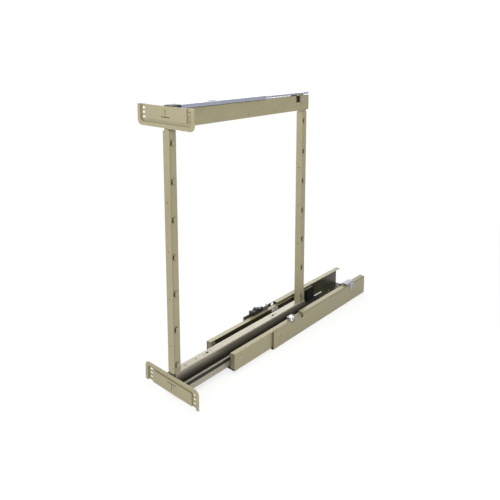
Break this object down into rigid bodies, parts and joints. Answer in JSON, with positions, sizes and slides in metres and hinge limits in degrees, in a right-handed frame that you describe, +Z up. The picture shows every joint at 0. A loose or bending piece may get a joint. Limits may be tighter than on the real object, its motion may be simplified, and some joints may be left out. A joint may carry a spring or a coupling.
{
  "type": "pull out pantry frame",
  "caption": "Open steel frame for a narrow pull-out pantry: two hooked posts and a beam on a telescopic floor runner, with front door brackets and a sliding top guide.",
  "frame": {"origin": "on the cabinet floor under the middle of the whole depth, in the plane that halves the width", "axes": "+X to the right seen from the front, +Y to the back of the cabinet, +Z up"},
  "size_m": [0.1952, 0.8065, 0.7045],
  "materials": {
    "champagne_steel": "satin champagne paint",
    "zinc_steel": "zinc plated",
    "galvanised_steel": "galvanised",
    "black_plastic": "moulded",
    "white_nylon": "nylon",
    "rail_steel": "satin pale champagne paint"
  },
  "bodies": {
    "cabinet_side": {"cabinet_channel": "champagne_steel", "front_glide_pads": "white_nylon", "roller_carrier_right": "zinc_steel", "roller_carrier_left": "zinc_steel", "hold_down_pins": "zinc_steel", "catch_block": "black_plastic", "rear_clip": "zinc_steel"},
    "hold_down_right": {"hold_down_roller_right": "white_nylon"},
    "hold_down_left": {"hold_down_roller_left": "white_nylon"},
    "middle_stage": {"middle_channel": "champagne_steel", "mouth_guide_right": "white_nylon", "mouth_guide_left": "white_nylon", "front_load_pins": "zinc_steel", "middle_rear_carrier": "black_plastic", "middle_rear_pins": "zinc_steel", "carrier_rivets": "zinc_steel"},
    "front_load_right": {"front_load_roller_right": "white_nylon"},
    "front_load_left": {"front_load_roller_left": "white_nylon"},
    "middle_rear_right": {"middle_rear_roller_right": "white_nylon"},
    "middle_rear_left": {"middle_rear_roller_left": "white_nylon"},
    "carriage": {"inner_rail": "rail_steel", "rail_rear_pins": "zinc_steel", "front_post": "champagne_steel", "rear_post": "champagne_steel", "front_post_plug": "champagne_steel", "rear_post_plug": "champagne_steel", "rear_foot_bracket": "champagne_steel", "rear_foot_screws": "zinc_steel", "top_beam": "champagne_steel", "beam_end_plug": "black_plastic", "front_neck_plate": "champagne_steel", "rear_neck_plate": "champagne_steel", "lower_bracket": "champagne_steel", "upper_bracket": "champagne_steel", "lower_bracket_holder": "champagne_steel", "upper_bracket_holder": "champagne_steel", "guide_inner_rail": "galvanised_steel", "guide_bumper": "black_plastic", "guide_saddle": "champagne_steel", "saddle_rivets": "zinc_steel", "guide_stop": "black_plastic", "stop_pin": "white_nylon"},
    "rail_rear_right": {"rail_rear_roller_right": "white_nylon"},
    "rail_rear_left": {"rail_rear_roller_left": "white_nylon"},
    "top_guide": {"guide_outer_rail": "galvanised_steel"},
    "ball_cage": {"guide_ball_cage": "zinc_steel", "guide_balls": "zinc_steel"}
  },
  "joints": [
    {"name": "middle_slide", "type": "slide", "parent": "cabinet_side", "child": "middle_stage", "axis": [0, -1, 0], "range_m": [-0.14, 0.08]},
    {"name": "carriage_slide", "type": "slide", "parent": "middle_stage", "child": "carriage", "axis": [0, -1, 0], "range_m": [-0.14, 0.08]},
    {"name": "guide_slide", "type": "slide", "parent": "carriage", "child": "top_guide", "axis": [0, 1, 0], "range_m": [0, 0.44]},
    {"name": "cage_slide", "type": "slide", "parent": "carriage", "child": "ball_cage", "axis": [0, 1, 0], "range_m": [0, 0.22]},
    {"name": "hold_down_spin_right", "type": "hinge", "parent": "cabinet_side", "child": "hold_down_right", "pos_m": [0.0518, 0.0035, 0.05933], "axis": [1, 0, 0], "continuous": true},
    {"name": "front_load_spin_right", "type": "hinge", "parent": "middle_stage", "child": "front_load_right", "pos_m": [0.0331, -0.212, 0.03357], "axis": [1, 0, 0], "continuous": true},
    {"name": "middle_rear_spin_right", "type": "hinge", "parent": "middle_stage", "child": "middle_rear_right", "pos_m": [0.0513, 0.241, 0.04717], "axis": [1, 0, 0], "continuous": true},
    {"name": "rail_rear_spin_right", "type": "hinge", "parent": "carriage", "child": "rail_rear_right", "pos_m": [0.0466, 0.0488, 0.03467], "axis": [1, 0, 0], "continuous": true},
    {"name": "hold_down_spin_left", "type": "hinge", "parent": "cabinet_side", "child": "hold_down_left", "pos_m": [-0.0518, 0.0035, 0.05933], "axis": [1, 0, 0], "continuous": true},
    {"name": "front_load_spin_left", "type": "hinge", "parent": "middle_stage", "child": "front_load_left", "pos_m": [-0.0331, -0.212, 0.03357], "axis": [1, 0, 0], "continuous": true},
    {"name": "middle_rear_spin_left", "type": "hinge", "parent": "middle_stage", "child": "middle_rear_left", "pos_m": [-0.0513, 0.241, 0.04717], "axis": [1, 0, 0], "continuous": true},
    {"name": "rail_rear_spin_left", "type": "hinge", "parent": "carriage", "child": "rail_rear_left", "pos_m": [-0.0466, 0.0488, 0.03467], "axis": [1, 0, 0], "continuous": true}
  ],
  "couplings": [
    {"joint": "carriage_slide", "follows": "middle_slide", "ratio": 1},
    {"joint": "cage_slide", "follows": "guide_slide", "ratio": 0.5}
  ]
}
